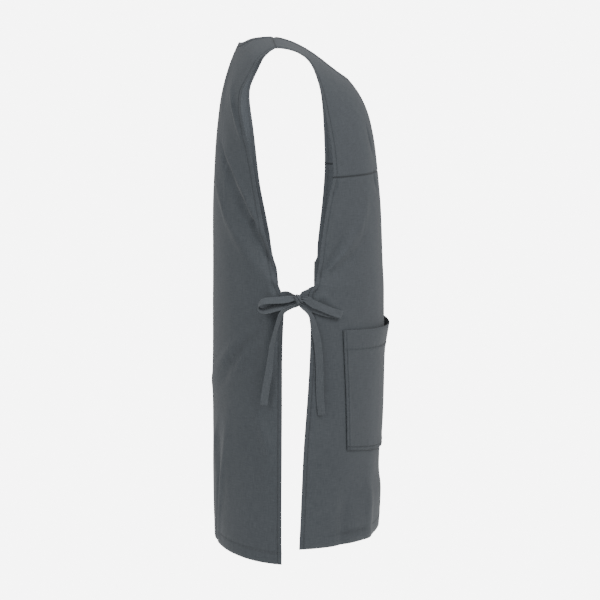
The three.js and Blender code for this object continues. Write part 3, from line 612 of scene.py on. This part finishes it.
def folds(place, rows):
    """Height of the folds at places given as share across and share down."""
    here = place * (PANEL_HALF, LENGTH)
    height = np.zeros(len(here))
    for start, via, end, width, heights in rows:
        line = smooth(np.array([start, via, end]) * (PANEL_HALF, LENGTH), 9)
        away, along = nearest_on(here, line)
        tall = np.interp(along, (0, 0.5, 1), heights)
        height += tall * FOLD_LIFT * MM * np.exp(-((away / (width * MM)) ** 2))
    return height


# %% [markdown]
# A sheet is then finished in one pass. Subdivision makes it fine and smooth, the folds lift it, and
# slow noise takes away the drawn look. Beside each stitch line the cloth sinks a little and puckers,
# because the thread is pulled tighter than the cloth. Solidify then makes one layer of cloth, and
# two layers in the hems.

# %% The sheet finisher
EDGE_HEM = 8 * MM
BOTTOM_HEM = 20 * MM
LAYER = 0.75 * MM  # one layer of pressed twill
SEAM_SINK = 1 * MM
SEAM_REACH = 1.5 * MM
# painted shade: how much the groove beside a stitch row darkens the cloth's colour
STITCH_GROOVE_SHADE = 0.3
GROOVE_REACH, GROOVE_DEPTH = 1.2 * MM, 0.6 * MM
PUCKER_REACH, PUCKER_LIFT = 7 * MM, 0.28 * MM
PUCKER_RUNS = (2.1 * MM, 5.3 * MM)
BROAD_WAVE, BROAD_LIFT = 110 * MM, 1.6 * MM
SMALL_WAVE, SMALL_LIFT = 35 * MM, 0.5 * MM
HEM_SLOPE = 1.5 * MM
RIM = 0.3 * MM


def share_across(sheet, grid):
    """Place of each vertex along its row, from -1 at the right edge to 1 at the left."""
    points = places(sheet)
    shares = np.zeros(len(points))
    half = grid.shape[1] // 2
    for row in grid:
        run = run_of(points[row])
        beyond = (run - run[half]) / (run[-1] - run[half])
        shares[row] = np.where(run < run[half], run / run[half] - 1, beyond)
    return shares


def bumps(points, scale, seed):
    return np.array([noise.noise(Vector(p) / scale + Vector((seed, 0, 0))) for p in points])


def finish_sheet(sheet, grid, fold_rows, stitch_lines, hems, seed, seams=(), press=0):
    """Subdivides a sheet, folds and puckers it, and gives it its thickness."""
    flat = read_uv(sheet)
    group = sheet.vertex_groups.new(name="across")
    for index, share in enumerate(share_across(sheet, grid)):
        group.add([index], (share + 1) / 2, "REPLACE")
    subdivide(sheet, 3)
    points = places(sheet)
    uv = read_uv(sheet)
    across = np.array([v.groups[0].weight if v.groups else 0 for v in sheet.data.vertices]) * 2 - 1
    down = -points[:, 2] / LENGTH
    height = folds(np.stack([across, down], axis=1), fold_rows)
    height += bumps(points, BROAD_WAVE, seed) * BROAD_LIFT
    height += bumps(points * (1, 1, 0.6), SMALL_WAVE, seed + 5) * SMALL_LIFT
    # painted shade: depth gathers where seams and stitch grooves get a darker cloth colour
    depth = np.zeros(len(points))
    for line in seams:
        away, _ = nearest_on(uv, flat[line])
        sunk = np.exp(-((away / SEAM_REACH) ** 2))
        height -= SEAM_SINK * sunk
        depth = np.maximum(depth, sunk)
    for line, inset in stitch_lines:
        away, along = nearest_on(uv, flat[line])
        from_row = away - inset
        run = along * run_of(np.pad(flat[line], ((0, 0), (0, 1))))[-1]
        ripple = np.sin(run / PUCKER_RUNS[0]) * np.sin(run / PUCKER_RUNS[1] + seed)
        groove = np.exp(-((from_row / GROOVE_REACH) ** 2))
        height -= GROOVE_DEPTH * groove
        depth = np.maximum(depth, STITCH_GROOVE_SHADE * groove)
        height += PUCKER_LIFT * ripple * np.exp(-((from_row / PUCKER_REACH) ** 2))
    group = sheet.vertex_groups.new(name="layers")
    double = np.zeros(len(points))
    for line, width in hems:
        away, _ = nearest_on(uv, flat[line])
        double = np.maximum(double, np.clip((width + HEM_SLOPE / 2 - away) / HEM_SLOPE, 0, 1))
    for index, weight in enumerate(double):
        group.add([index], weight, "REPLACE")
    height -= press * (1 + double)
    # painted shade: the mask is stored on the points, and the twill darkens its colour there
    sheet.data.attributes.new("painted_seam_shade", "FLOAT", "POINT").data.foreach_set("value", depth)
    set_places(sheet, points + normals(sheet) * height[:, None])
    apply_modifier(
        sheet, "SOLIDIFY", thickness=2 * LAYER, offset=-1, vertex_group="layers",
        thickness_vertex_group=0.5,
    )
    apply_modifier(sheet, "BEVEL", width=RIM, segments=1, limit_method="ANGLE", angle_limit=1.2)
    pick(sheet)
    bpy.ops.object.shade_smooth_by_angle(angle=math.radians(50))
    triangles = sum(len(face.vertices) - 2 for face in sheet.data.polygons)
    print(f"{sheet.name}: {triangles} triangles")


# %% Lines along a sheet's edges
def edges_of(grid):
    return {"right": grid[:, 0], "left": grid[:, -1], "top": grid[0], "bottom": grid[-1]}


def inset_line(points, grid, side, inset):
    """Places on a sheet at a distance in from one of its edges."""
    table = grid if side in ("right", "left") else grid.T
    if side in ("left", "bottom"):
        table = table[:, ::-1]
    line = []
    for row in table:
        run = run_of(points[row])
        line.append([np.interp(inset, run, points[row][:, k]) for k in range(3)])
    return np.array(line)


# %% [markdown]
# Stitch rows lie 7 mm in from the side edges and the neckline, and 19 mm above the bottom. Their
# places are measured on the coarse sheet before the sheet is finished, and the thread is set onto
# the finished surface later.

# %% Finish the panels
rows_of_thread = {}
SIDE_STITCH = 7 * MM
BOTTOM_STITCH = 19 * MM
SHOULDER = 7  # columns of the top edge that belong to a shoulder seam
PANELS = {
    "yoke_cloth": (FRONT_FOLDS, 3.1),
    "skirt_cloth": (FRONT_FOLDS, 3.1),
    "back_cloth": (BACK_FOLDS, 9.7),
}
for name, (fold_rows, seed) in PANELS.items():
    sheet, grid = sheets[name]
    edge = edges_of(grid)
    coarse = places(sheet)
    has_top = name != "skirt_cloth"
    has_bottom = name != "yoke_cloth"
    lines = {
        "right": inset_line(coarse, grid, "right", SIDE_STITCH),
        "left": inset_line(coarse, grid, "left", SIDE_STITCH),
    }
    stitch_lines = [(edge["right"], SIDE_STITCH), (edge["left"], SIDE_STITCH)]
    hems = [(edge["right"], EDGE_HEM), (edge["left"], EDGE_HEM), (edge["top"], EDGE_HEM)]
    if has_top:
        neck = edge["top"][SHOULDER:-SHOULDER]
        lines["neck"] = inset_line(coarse, grid, "top", SIDE_STITCH)[SHOULDER:-SHOULDER]
        stitch_lines.append((neck, SIDE_STITCH))
    if has_bottom:
        lines["bottom"] = inset_line(coarse, grid, "bottom", BOTTOM_STITCH)
        stitch_lines.append((edge["bottom"], BOTTOM_STITCH))
        hems.append((edge["bottom"], BOTTOM_HEM))
    else:
        lines["seam"] = inset_line(coarse, grid, "bottom", 2 * MM)
        hems.append((edge["bottom"], EDGE_HEM))
    rows_of_thread[name] = lines
    top = edge["top"]
    seams = [top[: SHOULDER + 1], top[-SHOULDER - 1 :]] if has_top else [top]
    if not has_bottom:
        seams.append(edge["bottom"])
    finish_sheet(sheet, grid, fold_rows, stitch_lines, hems, seed, seams=seams)

# %% [markdown]
# The pocket is one wide piece that is sewn down at its sides and its bottom, with two rows of
# stitching, and has a deep hem at its mouth. Its mouth stands off in the middle, as in the frame.

# %% Finish the pocket
POCKET_HEM = 33 * MM
POCKET_TURN = 7 * MM
HEM_ROW = POCKET_HEM - 1 * MM
sheet, grid = sheets["pocket_cloth"]
edge = edges_of(grid)
coarse = places(sheet)
FIRST_ROW, SECOND_ROW = 1.5 * MM, 6 * MM
lines = {"mouth": inset_line(coarse, grid, "top", HEM_ROW)}
stitch_lines = [(edge["top"], HEM_ROW)]
hems = [(edge["top"], POCKET_HEM)]
for side in ("right", "left", "bottom"):
    lines[side + "_1"] = inset_line(coarse, grid, side, FIRST_ROW)
    lines[side + "_2"] = inset_line(coarse, grid, side, SECOND_ROW)
    stitch_lines.append((edge[side], SECOND_ROW))
    hems.append((edge[side], POCKET_TURN))
rows_of_thread["pocket_cloth"] = lines
finish_sheet(sheet, grid, [], stitch_lines, hems, 3.1, press=CLOTH - LAYER)

# %% [markdown]
# Thread is real geometry here, because close views show it. One stitch is a tiny rod with tapered
# ends, a few dozen faces, laid half into the cloth. Array repeats it along a curve and Curve bends
# the row. A round rod looks the same from all sides, so the curve needs no tilt.

# %% Stitches
STITCH = 2.5 * MM
STITCH_PITCH = 3.2 * MM
THREAD = 0.28 * MM
THREAD_RISE = 0.1 * MM
GUIDE_STEP = 4 * MM
ROD_SHARE, TIP_SHARE, TIP_SCALE = 0.6, 0.2, 0.35


def one_stitch(length):
    bpy.ops.mesh.primitive_cylinder_add(
        vertices=5, radius=THREAD, depth=length * ROD_SHARE, rotation=(0, math.pi / 2, 0),
        end_fill_type="NOTHING",
    )
    stitch = bpy.context.object
    bpy.ops.object.transform_apply(location=False, rotation=True, scale=False)
    for end in (-1, 1):
        bpy.ops.object.mode_set(mode="EDIT")
        bpy.ops.mesh.select_all(action="DESELECT")
        bpy.ops.object.mode_set(mode="OBJECT")
        for vertex in stitch.data.vertices:
            vertex.select = vertex.co.x * end > 0
        bpy.ops.object.mode_set(mode="EDIT")
        bpy.ops.mesh.select_mode(type="VERT")
        tip = (end * length * TIP_SHARE, 0, 0)
        bpy.ops.mesh.extrude_region_move(TRANSFORM_OT_translate={"value": tip})
        bpy.ops.transform.resize(
            value=(1, TIP_SCALE, TIP_SCALE), center_override=(end * length / 2, 0, 0),
        )
        bpy.ops.mesh.edge_face_add()
        bpy.ops.object.mode_set(mode="OBJECT")
    return stitch


def sew(line, surface, name):
    """A row of stitches along a line, set onto the surface."""
    path = bpy.data.curves.new(name + "_path", "CURVE")
    path.dimensions = "3D"
    spline = path.splines.new("POLY")
    found = evenly(line, GUIDE_STEP)
    spline.points.add(len(found) - 1)
    for point, place in zip(spline.points, found):
        near, normal, _, _ = surface.find_nearest(Vector(place))
        point.co = (*(near + normal * THREAD_RISE), 1)
    guide = bpy.data.objects.new(name + "_path", path)
    bpy.context.scene.collection.objects.link(guide)
    row = one_stitch(STITCH)
    row.name = name
    apply_modifier(
        row, "ARRAY", fit_type="FIT_CURVE", curve=guide, use_relative_offset=False,
        use_constant_offset=True, constant_offset_displace=(STITCH_PITCH, 0, 0),
    )
    apply_modifier(row, "CURVE", object=guide, deform_axis="POS_X")
    bpy.data.objects.remove(guide)
    return row


def surface_of(obj):
    return BVHTree.FromObject(obj, bpy.context.evaluated_depsgraph_get())


def join(rows, name):
    pick(rows[0])
    for row in rows[1:]:
        row.select_set(True)
    if len(rows) > 1:
        bpy.ops.object.join()
    rows[0].name = name
    return rows[0]


threads = []
for name, lines in rows_of_thread.items():
    surface = surface_of(sheets[name][0])
    rows = [sew(line, surface, f"{name}_{side}") for side, line in lines.items()]
    threads.append(join(rows, name.replace("cloth", "thread")))
    print(threads[-1].name, len(threads[-1].data.polygons), "faces")

# %% [markdown]
# A bar tack is a dense bar of short stitches that holds a corner from tearing. There is one at each
# mouth corner of the pocket, and one where the front tapes leave the side edges. Stitches that lie
# across the bar are repeated by Array, and the flat bar is then laid onto the cloth.

# %% Bar tacks
TACK_WIDTH = 2.4 * MM
TACK_PITCH = 0.62 * MM
TACK_STEP = 1 * MM
TACK_ENDS = (1, 9)  # steps down from the pocket's corner
TACK_REACH = 5  # steps up and down from the tie
TIE_HEIGHT = -395.5 * MM


def bar_tack(start, end, surface, name):
    """A dense bar of stitches from one place to another, laid onto the surface."""
    step = Vector(end) - Vector(start)
    bar = one_stitch(TACK_WIDTH)
    bar.name = name
    apply_modifier(
        bar, "ARRAY", count=round(step.length / TACK_PITCH), use_relative_offset=False,
        use_constant_offset=True, constant_offset_displace=(0, TACK_PITCH, 0),
    )
    flat = places(bar)
    laid = []
    for x, y, z in flat:
        guide = Vector(start) + step.normalized() * y
        near, normal, _, _ = surface.find_nearest(guide)
        laid.append(near + step.cross(normal).normalized() * x + normal * (z + THREAD_RISE))
    set_places(bar, laid)
    return bar


pocket_surface = surface_of(sheets["pocket_cloth"][0])
skirt_surface = surface_of(sheets["skirt_cloth"][0])
pocket_lines = rows_of_thread["pocket_cloth"]
tacks = []
for side in ("right", "left"):
    start, end = evenly(pocket_lines[side + "_1"], TACK_STEP)[list(TACK_ENDS)]
    tacks.append(bar_tack(start, end, pocket_surface, side + "_pocket_tack"))
    line = evenly(rows_of_thread["skirt_cloth"][side], TACK_STEP)
    middle = np.abs(line[:, 2] - TIE_HEIGHT).argmin()
    start, end = line[middle - TACK_REACH], line[middle + TACK_REACH]
    tacks.append(bar_tack(start, end, skirt_surface, side + "_tie_tack"))
threads.append(join(tacks, "bar_tacks"))
print("bar tacks", len(threads[-1].data.polygons), "faces")

# %% [markdown]
# Colours are given as the eye reads them on a screen and turned to linear light by one function.
# Another small function adds a shader node with its settings and links.

# %% Material helpers
def srgb(code):
    parts = [int(code[i : i + 2], 16) / 255 for i in (1, 3, 5)]
    return (*[c / 12.92 if c <= 0.04045 else ((c + 0.055) / 1.055) ** 2.4 for c in parts], 1)


def add(tree, kind, inputs, **settings):
    node = tree.nodes.new(kind)
    for name, value in settings.items():
        setattr(node, name, value)
    for name, value in inputs.items():
        if isinstance(value, bpy.types.NodeSocket):
            tree.links.new(value, node.inputs[name])
        else:
            node.inputs[name].default_value = value
    return node


def new_material(name):
    material = bpy.data.materials.new(name)
    material.use_nodes = True
    tree = material.node_tree
    return material, tree, tree.nodes["Principled BSDF"]


# %% [markdown]
# The cloth is a polyester and cotton work twill: matt, dense, with a fine diagonal rib and slightly
# uneven yarns, so that the dark grey is never quite flat. The real rib has a pitch of about 0.6 mm,
# which is finer than a pixel here, so it is drawn at 1.2 mm.

# %% Twill
RIB_PITCH = 1.2 * MM
WAVE_PERIOD = 2 * math.pi / 20  # one wave of the Wave node at scale 1
YARN = 1.1 * MM
WARP_RUN, WEFT_RUN = 16 * MM, 14 * MM  # how far a yarn keeps its thickness
YARN_RELIEF = 0.06 * MM
SEAM_SHADE = 0.45  # painted shade: a seam's fold gets a deeper colour where shade falls in it


def twill(name, dark, light):
    material, tree, shader = new_material(name)
    uv = add(tree, "ShaderNodeUVMap", {}, uv_map="cloth").outputs["UV"]
    slant = add(tree, "ShaderNodeMapping", {"Vector": uv, "Rotation": (0, 0, math.radians(52))})
    rib = add(
        tree, "ShaderNodeTexWave",
        {"Vector": slant.outputs["Vector"], "Scale": WAVE_PERIOD / RIB_PITCH, "Distortion": 1.5,
         "Detail": 1.0, "Detail Scale": 2.0},
    )
    runs = []
    for scale in ((1 / YARN, 1 / WARP_RUN, 1), (1 / WEFT_RUN, 1 / YARN, 1)):
        stretched = add(tree, "ShaderNodeMapping", {"Vector": uv, "Scale": scale})
        runs.append(add(
            tree, "ShaderNodeTexNoise",
            {"Vector": stretched.outputs["Vector"], "Scale": 1.0, "Detail": 3.0},
        ))
    yarn, weft = runs
    broad = add(tree, "ShaderNodeTexNoise", {"Vector": uv, "Scale": 14.0, "Detail": 2.0})
    both = add(
        tree, "ShaderNodeMath", {0: yarn.outputs["Fac"], 1: weft.outputs["Fac"]}, operation="ADD",
    )
    spread = add(
        tree, "ShaderNodeMapRange", {"Value": both.outputs["Value"], "From Min": 0.75, "From Max": 1.25},
    )
    heather = add(
        tree, "ShaderNodeMixRGB",
        {"Fac": spread.outputs["Result"], "Color1": srgb(dark), "Color2": srgb(light)},
    )
    cloudy = add(
        tree, "ShaderNodeMapRange", {"Value": broad.outputs["Fac"], "To Min": 0.93, "To Max": 1.07},
    )
    # painted shade: seams and stitch grooves darken the base colour by the stored mask
    painted_seam_shade = add(tree, "ShaderNodeAttribute", {}, attribute_name="painted_seam_shade").outputs["Fac"]
    shadowed = add(
        tree, "ShaderNodeMapRange",
        {"Value": painted_seam_shade, "To Min": cloudy.outputs["Result"], "To Max": SEAM_SHADE},
    )
    shade = add(
        tree, "ShaderNodeVectorMath", {0: heather.outputs["Color"], "Scale": shadowed.outputs["Result"]},
        operation="SCALE",
    )
    relief = add(
        tree, "ShaderNodeMath",
        {0: yarn.outputs["Fac"], 1: 0.8, 2: rib.outputs["Fac"]}, operation="MULTIPLY_ADD",
    )
    bump = add(
        tree, "ShaderNodeBump", {"Height": relief.outputs["Value"], "Distance": YARN_RELIEF, "Strength": 0.5},
    )
    tree.links.new(shade.outputs["Vector"], shader.inputs["Base Color"])
    tree.links.new(bump.outputs["Normal"], shader.inputs["Normal"])
    shader.inputs["Roughness"].default_value = 0.88
    shader.inputs["Specular IOR Level"].default_value = 0.25
    shader.inputs["Sheen Weight"].default_value = 0.18
    shader.inputs["Sheen Roughness"].default_value = 0.45
    return material


panel_twill = twill("poly_cotton_work_twill", "#54595e", "#60656a")
tape_twill = twill("folded_twill_tape", "#585d62", "#676c71")
print("rib pitch", RIB_PITCH * 1000, "mm")

# %% [markdown]
# The sewing thread is spun polyester in the colour of the cloth. It is a little smoother than the
# twill and catches more light, which is what makes a stitch row visible at all.

# %% Thread
thread_material, tree, shader = new_material("spun_polyester_thread")
place = add(tree, "ShaderNodeTexCoord", {}).outputs["Object"]
twist = add(tree, "ShaderNodeTexNoise", {"Vector": place, "Scale": 900.0, "Detail": 1.0})
tone = add(
    tree, "ShaderNodeMixRGB",
    {"Fac": twist.outputs["Fac"], "Color1": srgb("#4b5055"), "Color2": srgb("#666b70")},
)
tree.links.new(tone.outputs["Color"], shader.inputs["Base Color"])
shader.inputs["Roughness"].default_value = 0.6

# %% [markdown]
# Every piece gets its material, rides on the frame's one body and takes the place of its CAD solid.

def dress(obj, material):
    obj.data.materials.clear()
    obj.data.materials.append(material)
    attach(obj, "root")


NODE_OF = {
    "yoke_cloth": ("front_yoke", []),
    "skirt_cloth": ("front_skirt", ["yoke_cloth"]),
    "back_cloth": ("back_panel", []),
    "pocket_cloth": ("front_pocket", ["skirt_cloth"]),
}
for name, (node, held_by) in NODE_OF.items():
    sheet, _ = sheets[name]
    dress(sheet, panel_twill)
    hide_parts(node)
    size = cut_sizes[name]
for piece in (*tails.values(), *bow.values(), knot, wrap):
    dress(piece, tape_twill)
for piece in threads:
    dress(piece, thread_material)

# %% [markdown]
# A plain pale floor lies well below the hem, because a wearer's shoulders hold the apron up. The
# light is soft, from a large box high in front and a weaker one behind. A small box below the hem
# and three weak lamps fill the inside, as a photographer does for clothes that hang empty. The
# surround is even white: it gives little light, and where nothing stands before it, it shows as
# clean catalogue white.

# %% Floor and light
FLOOR_DROP = 1.45
FLOOR_RADIUS = 1.3
bpy.ops.mesh.primitive_circle_add(
    vertices=96, radius=FLOOR_RADIUS, fill_type="NGON", location=(0, 0, -FLOOR_DROP),
)
floor = bpy.context.object
floor.name = "floor"
floor_material, tree, shader = new_material("pale_studio_floor")
shader.inputs["Base Color"].default_value = srgb("#f4f4f3")
shader.inputs["Roughness"].default_value = 0.9
floor.data.materials.append(floor_material)

SURROUND = 0.5
BACKDROP = 7.0
world = bpy.data.worlds.new("white_surround")
bpy.context.scene.world = world
world.use_nodes = True
tree = world.node_tree
seen = add(tree, "ShaderNodeLightPath", {}).outputs["Is Camera Ray"]
strength = add(tree, "ShaderNodeMapRange", {"Value": seen, "To Min": SURROUND, "To Max": BACKDROP})
tree.nodes["Background"].inputs["Color"].default_value = (1, 1, 1, 1)
tree.links.new(strength.outputs["Result"], tree.nodes["Background"].inputs["Strength"])


def softbox(place, aim, size, watts):
    turn = (Vector(aim) - Vector(place)).to_track_quat("-Z", "Y").to_euler()
    bpy.ops.object.light_add(type="AREA", location=place, rotation=turn)
    light = bpy.context.object
    light.data.size = size
    light.data.energy = watts
    light.visible_camera = False


SOFTBOXES = [  # place, aim, size in metres, watts
    ((-1.5, -1.5, 1.3), (0, -0.05, -0.2), 1.1, 25.5),
    ((-1.3, 1.6, 1.2), (0, 0.05, -0.1), 0.9, 13),
    ((0, -0.03, -1.35), (0, -0.03, -0.4), 0.6, 3),
]
FILL_HEIGHTS = (-0.15, -0.4, -0.65)
FILL_RADIUS = 0.05
FILL_WATTS = 0.42
for row in SOFTBOXES:
    softbox(*row)
for height in FILL_HEIGHTS:
    bpy.ops.object.light_add(type="POINT", location=(0, -0.03, height))
    fill = bpy.context.object
    fill.data.shadow_soft_size = FILL_RADIUS
    fill.data.energy = FILL_WATTS
    fill.visible_camera = False
